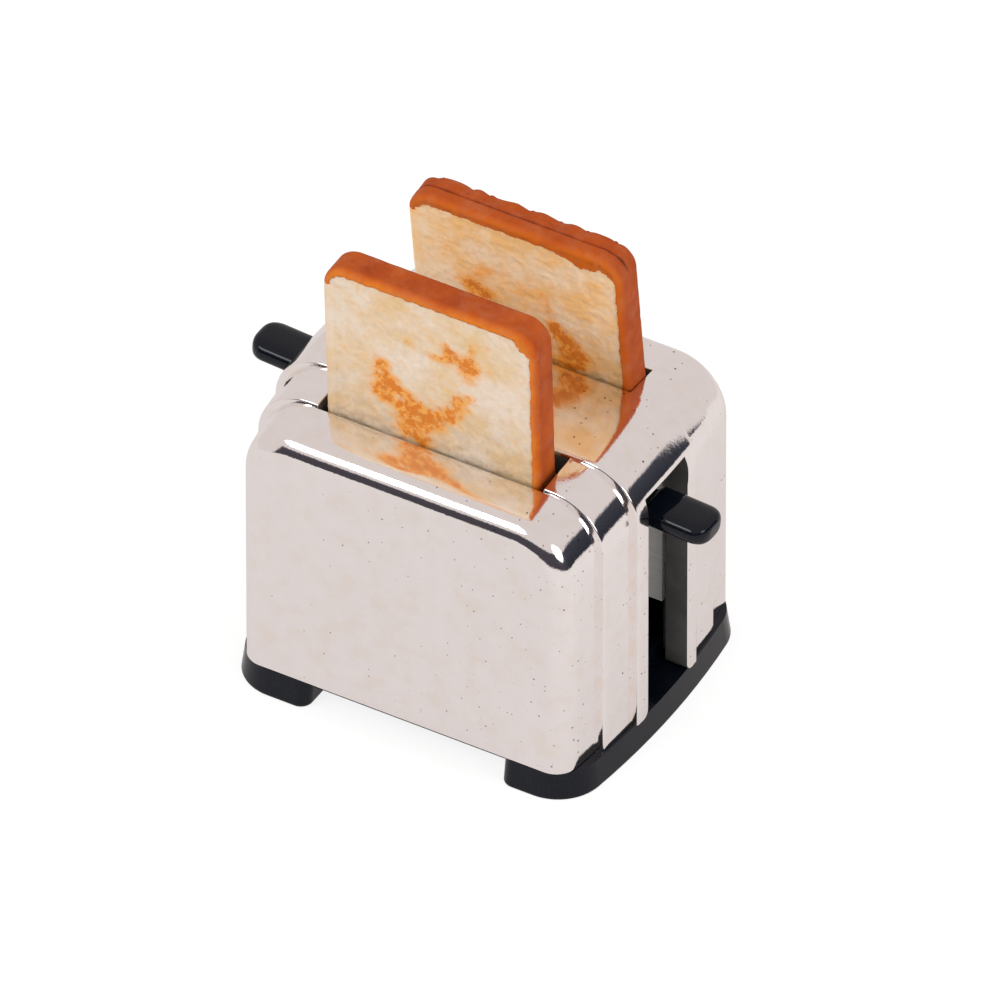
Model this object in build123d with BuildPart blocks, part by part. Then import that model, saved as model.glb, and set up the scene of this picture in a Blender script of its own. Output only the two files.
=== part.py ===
from build123d import *
from math import cos, radians, sin
import os

# A miniature two-slice toaster, in millimetres. +X runs along the long side, +Y to the
# back, +Z up. The origin is on the table, under the middle of the body.

# ---------------------------------------------------------------- driving dimensions

# Housing: a die-cast shell of five bands, each prouder than its outer neighbour.
HOUSING_HEIGHT = 23.4
HOUSING_HALF_LENGTH = 15.55
HOUSING_HALF_WIDTH = 12.37
BOW_RADIUS = 100.0
END_STEP = 0.5
TOP_STEP = 0.25
SHOULDER_RADIUS = 4.5
FACE_EDGE_RADIUS = 1.2
WALL = 1.2
TOP_WALL = 1.7
CHEEK_THICKNESS = 1.95

# Bread slots in the top, as long as the bread and room at both its ends.
SLICE_WIDTH = 18.05
SLICE_END_ROOM = 0.525
SLOT_WIDTH = 3.75
SLOT_SPACING = 12.35

# Lever slots in the ends, open at the bottom.
LEVER_SLOT_WIDTH = 5.75
LEVER_SLOT_DROP = 2.95
TONGUE_RADIUS = 0.7

# Inner walls beside the bread slots.
INNER_WALL_THICKNESS = 0.65
INNER_WALL_END_GAP = 0.8
INNER_WALL_LIFT = 5.1
ARM_SLOT_CLEARANCE = 0.25

# Base: bowed ends, drafted sides, and a foot under each corner and along each end.
FOOT_HEIGHT = 2.4
PLATE_THICKNESS = 1.3
BASE_SHIFT = 0.25
BASE_END_PROUD = 0.1
BASE_SIDE_PROUD = 0.33
BASE_BOW_RADIUS = 75.0
BASE_CORNER_RADIUS = 3.8
BASE_DRAFT = 8.0
FOOT_LENGTH = 7.45
FOOT_DEPTH = 5.7
FOOT_CORNER_RADIUS = 1.0
END_FOOT_WIDTH = 3.2
BASE_EDGE_ROUND = 0.25
SPIGOT_HEIGHT = 1.2
SPIGOT_CLEARANCE = 0.1

# Base screws, into posts cast in the housing's corners.
BOSS_INSET = 1.0
BOSS_RADIUS = 1.4
SCREW_RADIUS = 0.6
SCREW_HEAD_RADIUS = 1.05
SCREW_HEAD_HEIGHT = 0.6
SCREW_RECESS = 1.0
SCREW_GRIP = 5.0
SCREW_HOLE_CLEARANCE = 0.1
SCREW_DRIVE_WIDTH = 0.3
SCREW_DRIVE_DEPTH = 0.25

# Guide posts and their sockets.
POST_RADIUS = 0.55
POST_INSET = 4.6
POST_SEAT_DEPTH = 1.4
POST_BOSS_RADIUS = 1.2
POST_BOSS_HEIGHT = 0.8
POST_TOP_BOSS_HEIGHT = 1.2
SPRING_SIDE_GAP = 0.28
SEAT_CLEARANCE = 0.02
SLIDE_CLEARANCE = 0.06

# Carriage: a level frame that slides on the posts.
LEVER_DROP = 5.0
FRAME_THICKNESS = 1.2
FRAME_DROP = 1.3
FRAME_END_MARGIN = 1.4
FRAME_SIDE_CLEARANCE = 0.4
HUB_RADIUS = 1.05
HUB_LENGTH = 0.9
ARM_X = 4.6
ARM_WIDTH = 1.4
ARM_END_MARGIN = 0.8
STOP_RING_THICKNESS = 0.4
STOP_RING_GAP = 0.1
STOP_RING_RADIUS = 1.0

# Return springs round the posts.
SPRING_COIL_RADIUS = 0.88
SPRING_WIRE_RADIUS = 0.14
SPRING_TURNS = 9
SPRING_END_GAP = 0.05

# Lever: one bar through both ends, rocking on a pin in the carriage.
LEVER_TILT = 3.4
BAR_RING_GAP = 0.35
BAR_THICKNESS = 1.2
BAR_SIDE_GAP = 0.2
EAR_THICKNESS = 0.75
EAR_WIDTH = 2.4
EAR_RISE = 0.95
PIN_RADIUS = 0.45
PIN_CLEARANCE = 0.05
PIN_PRESS_GAP = 0.01
KNOB_INSET = 1.55
KNOB_LENGTH = 5.4
KNOB_SOCKET_DEPTH = 2.8
KNOB_WIDTH = 3.7
KNOB_THICKNESS = 1.8
KNOB_TIP_RADIUS = 1.25
KNOB_EDGE_ROUND = 0.55
KNOB_SOCKET_GAP = 0.03

# Cradles: a rod with a shelf on it, tipping in saddles on the carriage arms.
CRADLE_LENGTH = 14.0
CRADLE_WIDTH = 2.3
SHELF_THICKNESS = 0.7
CRADLE_ROD_RADIUS = 0.5
CRADLE_ROD_DROP = 0.95
CRADLE_CLEARANCE = 0.05
SHELF_RISE = 0.15

# Bread slices: crumb inside a band of crust.
SLICE_THICKNESS = 2.7
SLICE_CORNER_RADIUS = 2.0
CRUST_THICKNESS = 0.8
CRUST_EDGE_ROUND = 0.35
FRONT_SLICE_HEIGHT = 18.55
REAR_SLICE_HEIGHT = 17.8
FRONT_LEAN = 2.3
REAR_LEAN = 7.0
FRONT_SHIFT = 0.0
REAR_SHIFT = 0.45
SLICE_SLOT_GAP = 0.2
SLICE_SEAT_GAP = 0.03

# ---------------------------------------------------------------- worked-out levels

bottom = FOOT_HEIGHT
housing_top = bottom + HOUSING_HEIGHT
slot_inner = (SLOT_SPACING - SLOT_WIDTH) / 2
slot_outer = (SLOT_SPACING + SLOT_WIDTH) / 2
slot_middle = SLOT_SPACING / 2
lever_z = housing_top - LEVER_DROP
frame_top = lever_z - FRAME_DROP
frame_bottom = frame_top - FRAME_THICKNESS
spigot_top = bottom + SPIGOT_HEIGHT
inner_wall_length = 2 * (HOUSING_HALF_LENGTH - CHEEK_THICKNESS - INNER_WALL_END_GAP)
slot_length = SLICE_WIDTH + 2 * SLICE_END_ROOM
spring_radius = SPRING_COIL_RADIUS + SPRING_WIRE_RADIUS
post_y = slot_inner - INNER_WALL_THICKNESS - SPRING_SIDE_GAP - spring_radius
post_x = inner_wall_length / 2 - POST_INSET
POSTS = [(-post_x, -post_y), (post_x, post_y)]
knob_start = HOUSING_HALF_LENGTH - KNOB_INSET
knob_end = knob_start + KNOB_LENGTH
bar_half_length = knob_start + KNOB_SOCKET_DEPTH
bar_width = 2 * (post_y - STOP_RING_RADIUS - BAR_RING_GAP)
SIDES = {"left": -1, "right": 1}


def half_length_at(y, steps):
    """Half the housing's length at a depth y, this many steps in from the middle band."""
    return HOUSING_HALF_LENGTH - y**2 / (2 * BOW_RADIUS) - steps * END_STEP


def top_at(y, steps):
    """Height of the housing's top at a depth y, this many steps down."""
    return housing_top - y**2 / (2 * BOW_RADIUS) - steps * TOP_STEP


def end_profile(half_length, top, radius, base=bottom):
    """Front view of one band: a rectangle with both top corners rounded."""
    with Locations((0, base)):
        Rectangle(2 * half_length, top - base, align=(Align.CENTER, Align.MIN))
    fillet(vertices().group_by(Axis.Y)[-1], radius)


# The hollow inside the shell, without the posts that stand in it.
cavity_half_length = half_length_at(HOUSING_HALF_WIDTH, 2) - WALL
cavity_half_width = HOUSING_HALF_WIDTH - WALL
cavity_top = top_at(slot_outer, 1) - TOP_WALL
cavity_radius = SHOULDER_RADIUS - WALL
slot_floor = cavity_top - cavity_radius
boss_x = cavity_half_length - BOSS_INSET
boss_y = cavity_half_width - BOSS_INSET
BOSSES = [(x, y) for x in (-boss_x, boss_x) for y in (-boss_y, boss_y)]
post_ceiling = cavity_top - POST_TOP_BOSS_HEIGHT

with BuildPart() as cavity:
    with BuildSketch(Plane.XZ.offset(-cavity_half_width)):
        end_profile(cavity_half_length, cavity_top, cavity_radius)
    extrude(amount=2 * cavity_half_width)
    with BuildSketch(Plane.XZ.offset(-slot_inner)):
        end_profile(HOUSING_HALF_LENGTH - CHEEK_THICKNESS, cavity_top, cavity_radius)
    extrude(amount=2 * slot_inner)
    with BuildSketch(Plane.XY.offset(spigot_top)):
        with Locations(*BOSSES):
            Circle(BOSS_RADIUS)
    extrude(amount=housing_top - spigot_top, mode=Mode.SUBTRACT)
    with BuildSketch(Plane.XY.offset(post_ceiling)):
        with Locations(*POSTS):
            Circle(POST_BOSS_RADIUS)
    extrude(amount=POST_TOP_BOSS_HEIGHT, mode=Mode.SUBTRACT)

# Housing shell: lofted bands, hollowed, then cut for the bread and the levers.
BANDS = [
    (-slot_inner, slot_inner, 0),
    (slot_inner, slot_outer, 1),
    (-slot_outer, -slot_inner, 1),
    (slot_outer, HOUSING_HALF_WIDTH, 2),
    (-HOUSING_HALF_WIDTH, -slot_outer, 2),
]

with BuildPart() as housing_shell:
    for y_start, y_end, steps in BANDS:
        for y in (y_start, (y_start + y_end) / 2, y_end):
            with BuildSketch(Plane.XZ.offset(-y)):
                end_profile(half_length_at(y, steps), top_at(y, steps), SHOULDER_RADIUS)
        loft()
    front_and_back = faces().group_by(Axis.Y)[0] + faces().group_by(Axis.Y)[-1]
    outline = [edge for face in front_and_back for edge in face.edges()
               if edge.center().Z > bottom + FACE_EDGE_RADIUS]
    fillet(outline, FACE_EDGE_RADIUS)
    add(cavity.part, mode=Mode.SUBTRACT)
    with BuildSketch(Plane.XY.offset(slot_floor)):
        with Locations((0, -slot_middle), (0, slot_middle)):
            Rectangle(slot_length, SLOT_WIDTH)
    extrude(amount=housing_top - slot_floor, mode=Mode.SUBTRACT)
    with BuildSketch(Plane.YZ.offset(-HOUSING_HALF_LENGTH)):
        with Locations((0, bottom)):
            Rectangle(LEVER_SLOT_WIDTH, HOUSING_HEIGHT - LEVER_SLOT_DROP,
                      align=(Align.CENTER, Align.MIN))
    extrude(amount=2 * HOUSING_HALF_LENGTH, mode=Mode.SUBTRACT)
    tongues = (edges().filter_by(Axis.X)
               .filter_by(lambda edge: abs(edge.center().Z - bottom) < 0.01)
               .filter_by(lambda edge: abs(abs(edge.center().Y) - LEVER_SLOT_WIDTH / 2) < 0.01))
    fillet(tongues, TONGUE_RADIUS)
    with Locations(*[(x, y, spigot_top) for x, y in BOSSES]):
        Cylinder(SCREW_RADIUS, SCREW_GRIP, align=(Align.CENTER, Align.CENTER, Align.MIN),
                 mode=Mode.SUBTRACT)
    with Locations(*[(x, y, post_ceiling) for x, y in POSTS]):
        Cylinder(POST_RADIUS + SEAT_CLEARANCE, POST_TOP_BOSS_HEIGHT,
                 align=(Align.CENTER, Align.CENTER, Align.MIN), mode=Mode.SUBTRACT)
housing_shell.part.label = "housing_shell"

# Inner walls: bright plates that hang from the top beside the bread slots, notched from
# below for the carriage arms.
inner_wall_bottom = bottom + INNER_WALL_LIFT


def inner_wall(side):
    with BuildPart() as wall:
        start = slot_inner if side > 0 else -slot_inner + INNER_WALL_THICKNESS
        with BuildSketch(Plane.XZ.offset(-start)):
            end_profile(inner_wall_length / 2, cavity_top, cavity_radius, inner_wall_bottom)
            with Locations((-ARM_X, inner_wall_bottom), (ARM_X, inner_wall_bottom)):
                Rectangle(ARM_WIDTH + 2 * ARM_SLOT_CLEARANCE,
                          lever_z + ARM_SLOT_CLEARANCE - inner_wall_bottom,
                          align=(Align.CENTER, Align.MIN), mode=Mode.SUBTRACT)
        extrude(amount=INNER_WALL_THICKNESS)
    return wall.part


inner_wall_front = inner_wall(-1)
inner_wall_front.label = "inner_wall_front"
inner_wall_rear = inner_wall(1)
inner_wall_rear.label = "inner_wall_rear"

# Base: a drafted plate with bowed ends, hollow underneath, notched between the feet along
# the front and back, with a spigot that fits inside the shell. It stands a little further
# out at the right-hand end.
base_half_length = HOUSING_HALF_LENGTH + BASE_END_PROUD
base_half_width = HOUSING_HALF_WIDTH + BASE_SIDE_PROUD
base_corner_x = base_half_length - base_half_width**2 / (2 * BASE_BOW_RADIUS)
plate_bottom = bottom - PLATE_THICKNESS
foot_start = base_half_length - FOOT_LENGTH
spigot_half_width = cavity_half_width - SPIGOT_CLEARANCE
screw_head_z = SCREW_RECESS - SCREW_HEAD_HEIGHT

with BuildPart() as base_plate:
    with BuildSketch():
        with Locations((BASE_SHIFT, 0)):
            with BuildLine():
                right_end = ThreePointArc((base_corner_x, -base_half_width), (base_half_length, 0),
                                          (base_corner_x, base_half_width))
                Line(right_end @ 1, (-base_corner_x, base_half_width))
                left_end = ThreePointArc((-base_corner_x, base_half_width),
                                         (-base_half_length, 0),
                                         (-base_corner_x, -base_half_width))
                Line(left_end @ 1, right_end @ 0)
            make_face()
        fillet(vertices(), BASE_CORNER_RADIUS)
    extrude(amount=FOOT_HEIGHT, taper=BASE_DRAFT)
    with BuildSketch():
        with Locations((BASE_SHIFT, 0)):
            Rectangle(2 * foot_start, 2 * base_half_width)
            Rectangle(2 * (base_half_length - END_FOOT_WIDTH), 2 * (base_half_width - FOOT_DEPTH))
    extrude(amount=plate_bottom, mode=Mode.SUBTRACT)
    notch_depth = base_half_width - spigot_half_width
    with BuildSketch():
        with Locations((BASE_SHIFT, -base_half_width), (BASE_SHIFT, base_half_width)):
            Rectangle(2 * foot_start, 2 * notch_depth)
    extrude(amount=FOOT_HEIGHT, mode=Mode.SUBTRACT)
    foot_corners = edges().filter_by(
        lambda edge: abs(abs(edge.center().X - BASE_SHIFT) - foot_start) < 0.01
        and abs(edge.center().Y) > spigot_half_width + notch_depth / 2
        and edge.length > PLATE_THICKNESS)
    fillet(foot_corners, FOOT_CORNER_RADIUS)
    fillet(faces().group_by(Axis.Z)[0].edges(), BASE_EDGE_ROUND)
    with BuildSketch(Plane.XY.offset(bottom)):
        Rectangle(2 * (cavity_half_length - SPIGOT_CLEARANCE), 2 * spigot_half_width)
    extrude(amount=SPIGOT_HEIGHT)
    with BuildSketch(Plane.XY.offset(spigot_top)):
        with Locations(*POSTS):
            Circle(POST_BOSS_RADIUS)
    extrude(amount=POST_BOSS_HEIGHT)
    post_seat = spigot_top + POST_BOSS_HEIGHT - POST_SEAT_DEPTH
    with Locations(*[(x, y, post_seat) for x, y in POSTS]):
        Cylinder(POST_RADIUS + SEAT_CLEARANCE, POST_SEAT_DEPTH,
                 align=(Align.CENTER, Align.CENTER, Align.MIN), mode=Mode.SUBTRACT)
    with Locations(*[(x, y, 0) for x, y in BOSSES]):
        Cylinder(SCREW_HEAD_RADIUS + SCREW_HOLE_CLEARANCE, SCREW_RECESS,
                 align=(Align.CENTER, Align.CENTER, Align.MIN), mode=Mode.SUBTRACT)
        Cylinder(SCREW_RADIUS + SCREW_HOLE_CLEARANCE, spigot_top,
                 align=(Align.CENTER, Align.CENTER, Align.MIN), mode=Mode.SUBTRACT)
base_plate.part.label = "base_plate"

# Base screws: round heads with a cross recess, four alike.
with BuildPart() as base_screws:
    with Locations(*[(x, y, screw_head_z) for x, y in BOSSES]):
        Cylinder(SCREW_HEAD_RADIUS, SCREW_HEAD_HEIGHT,
                 align=(Align.CENTER, Align.CENTER, Align.MIN))
        Cylinder(SCREW_RADIUS, spigot_top + SCREW_GRIP - SCREW_HEAD_HEIGHT - screw_head_z,
                 align=(Align.CENTER, Align.CENTER, Align.MIN))
        for turn in (0, 90):
            Box(2 * SCREW_RADIUS, SCREW_DRIVE_WIDTH, SCREW_DRIVE_DEPTH, rotation=(0, 0, turn),
                align=(Align.CENTER, Align.CENTER, Align.MIN), mode=Mode.SUBTRACT)
base_screws.part.label = "base_screws"

# Guide posts, from the base's sockets to the sockets under the top.
post_length = cavity_top - SEAT_CLEARANCE - post_seat


def guide_post(x, y):
    with BuildPart() as post:
        with Locations((x, y, post_seat)):
            Cylinder(POST_RADIUS, post_length, align=(Align.CENTER, Align.CENTER, Align.MIN))
    return post.part


# Return springs: one wire each, wound from the base boss up to the carriage hub.
spring_low = spigot_top + POST_BOSS_HEIGHT + SPRING_WIRE_RADIUS + SPRING_END_GAP
spring_high = frame_bottom - HUB_LENGTH - SPRING_WIRE_RADIUS - SPRING_END_GAP


def return_spring(x, y):
    height = spring_high - spring_low
    with BuildPart() as spring:
        with BuildLine(Plane((x, y, spring_low))):
            wire = Helix(height / SPRING_TURNS, height, SPRING_COIL_RADIUS)
        with BuildSketch(Plane(wire @ 0, z_dir=wire % 0)):
            Circle(SPRING_WIRE_RADIUS)
        sweep(path=wire)
    return spring.part


guide_post_left = guide_post(*POSTS[0])
guide_post_left.label = "guide_post_left"
guide_post_right = guide_post(*POSTS[1])
guide_post_right.label = "guide_post_right"
return_spring_left = return_spring(*POSTS[0])
return_spring_left.label = "return_spring_left"
return_spring_right = return_spring(*POSTS[1])
return_spring_right.label = "return_spring_right"

# Stop rings clipped on the posts, just above the carriage.
with BuildPart() as stop_rings:
    with BuildSketch(Plane.XY.offset(frame_top + STOP_RING_GAP)):
        with Locations(*POSTS):
            Circle(STOP_RING_RADIUS)
            Circle(POST_RADIUS + SEAT_CLEARANCE, mode=Mode.SUBTRACT)
    extrude(amount=STOP_RING_THICKNESS)
stop_rings.part.label = "stop_rings"

# Carriage frame: a level plate between the inner walls, hubs on the posts, four arms out
# to the cradles and two ears that hold the lever's pin.
frame_half_length = post_x + FRAME_END_MARGIN
frame_half_width = slot_inner - INNER_WALL_THICKNESS - FRAME_SIDE_CLEARANCE
arm_reach = slot_middle + CRADLE_ROD_RADIUS + ARM_END_MARGIN
cradle_axis_z = lever_z - SHELF_RISE - CRADLE_ROD_DROP
ear_middle = bar_width / 2 + BAR_SIDE_GAP + EAR_THICKNESS / 2
saddle_half_width = CRADLE_ROD_RADIUS + ARM_END_MARGIN

with BuildPart() as carriage_frame:
    with BuildSketch(Plane.XY.offset(frame_bottom)):
        Rectangle(2 * frame_half_length, 2 * frame_half_width)
        with Locations((-ARM_X, 0), (ARM_X, 0)):
            Rectangle(ARM_WIDTH, 2 * arm_reach)
    extrude(amount=FRAME_THICKNESS)
    with BuildSketch(Plane.XY.offset(frame_top)):
        with GridLocations(2 * ARM_X, SLOT_SPACING, 2, 2):
            Rectangle(ARM_WIDTH, 2 * saddle_half_width)
    extrude(amount=cradle_axis_z - frame_top)
    with BuildSketch(Plane.XY.offset(frame_top)):
        with Locations((0, -ear_middle), (0, ear_middle)):
            Rectangle(EAR_WIDTH, EAR_THICKNESS)
    extrude(amount=lever_z + EAR_RISE - frame_top)
    with BuildSketch(Plane.XY.offset(frame_bottom - HUB_LENGTH)):
        with Locations(*POSTS):
            Circle(HUB_RADIUS)
    extrude(amount=HUB_LENGTH)
    with Locations(*[(x, y, frame_bottom - HUB_LENGTH) for x, y in POSTS]):
        Cylinder(POST_RADIUS + SLIDE_CLEARANCE, HUB_LENGTH + FRAME_THICKNESS,
                 align=(Align.CENTER, Align.CENTER, Align.MIN), mode=Mode.SUBTRACT)
    with Locations((0, -slot_middle, cradle_axis_z), (0, slot_middle, cradle_axis_z)):
        Cylinder(CRADLE_ROD_RADIUS + CRADLE_CLEARANCE, 2 * ARM_X + ARM_WIDTH,
                 rotation=(0, 90, 0), mode=Mode.SUBTRACT)
    with Locations((0, 0, lever_z)):
        Cylinder(PIN_RADIUS + PIN_PRESS_GAP, 2 * (ear_middle + EAR_THICKNESS),
                 rotation=(90, 0, 0), mode=Mode.SUBTRACT)
carriage_frame.part.label = "carriage_frame"

# Pin that the lever rocks on.
with BuildPart() as lever_pivot_pin:
    with Locations((0, 0, lever_z)):
        Cylinder(PIN_RADIUS, 2 * ear_middle + EAR_THICKNESS, rotation=(90, 0, 0))
lever_pivot_pin.part.label = "lever_pivot_pin"

# Lever bar, tilted as it rests: the left end stands higher.
lever_frame = Plane((0, 0, lever_z)).rotated((0, LEVER_TILT, 0))

with BuildPart() as lever_bar:
    with Locations(lever_frame):
        Box(2 * bar_half_length, bar_width, BAR_THICKNESS)
        Cylinder(PIN_RADIUS + PIN_CLEARANCE, bar_width, rotation=(90, 0, 0), mode=Mode.SUBTRACT)
lever_bar.part.label = "lever_bar"


def lever_knob(side):
    """A moulded paddle pushed on the end of the bar."""
    with BuildPart() as knob:
        with BuildSketch(lever_frame.offset(-KNOB_THICKNESS / 2)):
            with Locations((side * (knob_start + knob_end) / 2, 0)):
                Rectangle(KNOB_LENGTH, KNOB_WIDTH)
            tip = vertices().sort_by(Axis.X)[-2:] if side > 0 else vertices().sort_by(Axis.X)[:2]
            fillet(tip, KNOB_TIP_RADIUS)
        extrude(amount=KNOB_THICKNESS)
        upper = faces().sort_by(Axis.Z)[-1].edges()
        lower = faces().sort_by(Axis.Z)[0].edges()
        root = faces().sort_by(Axis.X)[0 if side > 0 else -1].edges()
        fillet([edge for edge in upper + lower if edge not in root], KNOB_EDGE_ROUND)
        with Locations(lever_frame):
            Box(2 * bar_half_length, bar_width + 2 * KNOB_SOCKET_GAP,
                BAR_THICKNESS + 2 * KNOB_SOCKET_GAP, mode=Mode.SUBTRACT)
    return knob.part


lever_knob_left = lever_knob(SIDES["left"])
lever_knob_left.label = "lever_knob_left"
lever_knob_right = lever_knob(SIDES["right"])
lever_knob_right.label = "lever_knob_right"


# Cradles and slices. Each slice leans towards the front, and its cradle leans with it:
# both are drawn on a plane that stands on the cradle's rod and tips about it.
def lean_plane(y, lean):
    """Local X along the bread, Y through its thickness and Z up along its face."""
    return Plane((0, y, cradle_axis_z)).rotated((lean, 0, 0))


def face_offset(y, lean, edge_y, edge_z):
    """How far the bread's front face stands before the rod, so that it clears the edge
    of the slot at (edge_y, edge_z)."""
    tilt = radians(lean)
    return (y - edge_y) * cos(tilt) - (edge_z - cradle_axis_z) * sin(tilt) - SLICE_SLOT_GAP


def cradle(y, lean, offset):
    with BuildPart() as piece:
        with Locations(lean_plane(y, lean)):
            Cylinder(CRADLE_ROD_RADIUS, CRADLE_LENGTH, rotation=(0, 90, 0))
            with Locations((0, SLICE_THICKNESS / 2 - offset, CRADLE_ROD_DROP)):
                Box(CRADLE_LENGTH, CRADLE_WIDTH, SHELF_THICKNESS,
                    align=(Align.CENTER, Align.CENTER, Align.MAX))
    return piece.part


def slice_plane(y, lean, offset):
    """The bread's front face, with local X along the bread and Y up its face."""
    stand = lean_plane(y, lean)
    origin = stand.from_local_coords((0, -offset, CRADLE_ROD_DROP + SLICE_SEAT_GAP))
    return Plane(origin, x_dir=(1, 0, 0), z_dir=-stand.y_dir)


def slice_outline(height, shift, inset=0):
    with Locations((shift, inset)):
        Rectangle(SLICE_WIDTH - 2 * inset, height - 2 * inset, align=(Align.CENTER, Align.MIN))
    fillet(vertices(), SLICE_CORNER_RADIUS - inset)


def crumb(y, lean, offset, height, shift):
    with BuildPart() as piece:
        with BuildSketch(slice_plane(y, lean, offset)):
            slice_outline(height, shift, CRUST_THICKNESS)
        extrude(amount=-SLICE_THICKNESS)
    return piece.part


def crust(y, lean, offset, height, shift):
    with BuildPart() as piece:
        with BuildSketch(slice_plane(y, lean, offset)):
            slice_outline(height, shift)
        extrude(amount=-SLICE_THICKNESS)
        fillet(edges(), CRUST_EDGE_ROUND)
        add(crumb(y, lean, offset, height, shift), mode=Mode.SUBTRACT)
    return piece.part


front_offset = face_offset(-slot_middle, FRONT_LEAN, -slot_outer, top_at(slot_outer, 2))
rear_offset = face_offset(slot_middle, REAR_LEAN, slot_inner, top_at(slot_inner, 0))
FRONT_SLICE = (-slot_middle, FRONT_LEAN, front_offset)
REAR_SLICE = (slot_middle, REAR_LEAN, rear_offset)

front_cradle = cradle(*FRONT_SLICE)
front_cradle.label = "front_cradle"
rear_cradle = cradle(*REAR_SLICE)
rear_cradle.label = "rear_cradle"
front_crumb = crumb(*FRONT_SLICE, FRONT_SLICE_HEIGHT, FRONT_SHIFT)
front_crumb.label = "front_crumb"
front_crust = crust(*FRONT_SLICE, FRONT_SLICE_HEIGHT, FRONT_SHIFT)
front_crust.label = "front_crust"
rear_crumb = crumb(*REAR_SLICE, REAR_SLICE_HEIGHT, REAR_SHIFT)
rear_crumb.label = "rear_crumb"
rear_crust = crust(*REAR_SLICE, REAR_SLICE_HEIGHT, REAR_SHIFT)
rear_crust.label = "rear_crust"

# ---------------------------------------------------------------- files

os.makedirs("parts", exist_ok=True)
PIECES = [
    housing_shell.part, inner_wall_front, inner_wall_rear, base_plate.part, base_screws.part,
    guide_post_left, guide_post_right, return_spring_left, return_spring_right,
    stop_rings.part, carriage_frame.part, lever_pivot_pin.part, lever_bar.part,
    lever_knob_left, lever_knob_right, front_cradle, rear_cradle, front_crumb, front_crust,
    rear_crumb, rear_crust,
]
for piece in PIECES:
    export_step(piece, f"parts/{piece.label}.step")
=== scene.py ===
import math

import bmesh
import bpy
from mathutils import Matrix, Vector, noise


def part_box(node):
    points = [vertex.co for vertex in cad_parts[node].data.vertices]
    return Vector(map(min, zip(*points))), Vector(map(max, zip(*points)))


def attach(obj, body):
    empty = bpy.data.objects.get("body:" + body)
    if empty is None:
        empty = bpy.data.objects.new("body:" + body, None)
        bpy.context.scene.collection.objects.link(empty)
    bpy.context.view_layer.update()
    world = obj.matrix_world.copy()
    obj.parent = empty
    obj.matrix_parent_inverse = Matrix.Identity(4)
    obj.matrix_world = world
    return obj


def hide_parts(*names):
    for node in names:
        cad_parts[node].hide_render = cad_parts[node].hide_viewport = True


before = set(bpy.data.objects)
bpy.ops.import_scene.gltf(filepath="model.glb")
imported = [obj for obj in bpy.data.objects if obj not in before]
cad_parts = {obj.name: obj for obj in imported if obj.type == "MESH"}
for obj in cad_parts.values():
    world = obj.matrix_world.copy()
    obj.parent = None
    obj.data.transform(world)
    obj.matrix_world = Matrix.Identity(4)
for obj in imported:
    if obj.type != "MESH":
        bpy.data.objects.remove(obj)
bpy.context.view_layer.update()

# Camera: a long lens that looks down over the front right-hand corner, from so far away that
# parallel edges stay parallel. The toy fills the middle of the frame, as a small thing does
# on a sheet of white card.
around, above = math.radians(30.26), math.radians(39.77)
view_right = Vector((math.cos(around), math.sin(around), 0))
view_up = Vector((-math.sin(around) * math.sin(above), math.cos(around) * math.sin(above), math.cos(above)))
view_back = view_right.cross(view_up)
card_width = 0.07353
camera_distance = 3.0
aim = Vector((0, 0, 0.0024)) + view_right * 0.0010147 + view_up * 0.009243

lens = bpy.data.cameras.new("camera")
lens.sensor_width = 36
lens.lens = lens.sensor_width * camera_distance / card_width
camera = bpy.data.objects.new("camera", lens)
camera.matrix_world = Matrix.Translation(aim + view_back * camera_distance) @ Matrix(
    (view_right, view_up, view_back)).transposed().to_4x4()
bpy.context.scene.collection.objects.link(camera)
bpy.context.scene.camera = camera
bpy.context.scene.view_settings.view_transform = "Standard"


# Tabletop: a sheet of matt white card under the toy, which keeps its soft shadow. The camera
# sees it a little over-exposed, and mirrors see it warm grey, a little paler to the right.
def linear(shade):
    """An sRGB hex colour as the linear RGBA that a socket takes."""
    parts = [int(shade[i:i + 2], 16) / 255 for i in (1, 3, 5)]
    return [c / 12.92 if c <= 0.04045 else ((c + 0.055) / 1.055) ** 2.4 for c in parts] + [1]


def add(tree, kind, inputs=None, **settings):
    """Adds a node. Its settings are set, and each input takes a value or a socket's link."""
    made = tree.nodes.new(kind)
    for name, value in settings.items():
        setattr(made, name, value)
    for name, value in (inputs or {}).items():
        if isinstance(value, bpy.types.NodeSocket):
            tree.links.new(value, made.inputs[name])
        else:
            made.inputs[name].default_value = value
    return made


card_half, overexposed, warm_grey, unlit_share = 0.14, (1.1, 1.1, 1.1, 1), "#DBD2CF", 0.78
dim_until, bright_from = 0.005, 0.035
card = bpy.data.materials.new("matt_white_card")
card.use_nodes = True
tree = card.node_tree
tree.nodes.clear()
seen = add(tree, "ShaderNodeLightPath")
straight = add(tree, "ShaderNodeMath", {0: seen.outputs["Is Camera Ray"],
                                        1: seen.outputs["Is Glossy Ray"]}, operation="MAXIMUM")
lit = add(tree, "ShaderNodeMix", {0: seen.outputs["Is Glossy Ray"], 6: overexposed, 7: linear(warm_grey)},
          data_type="RGBA")
spread = add(tree, "ShaderNodeSeparateXYZ", {0: add(tree, "ShaderNodeTexCoord").outputs["Object"]})
brighter = add(tree, "ShaderNodeMapRange", {0: spread.outputs["X"], 1: dim_until, 2: bright_from,
                                            3: 0.97, 4: 1.07})
share = add(tree, "ShaderNodeMath", {0: straight.outputs[0], 1: unlit_share}, operation="MULTIPLY")
paper = add(tree, "ShaderNodeBsdfDiffuse", {"Color": linear("#F4F3F1")})
white = add(tree, "ShaderNodeEmission", {"Color": lit.outputs[2], "Strength": brighter.outputs[0]})
blend = add(tree, "ShaderNodeMixShader", {0: share.outputs[0], 1: paper.outputs[0], 2: white.outputs[0]})
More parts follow.
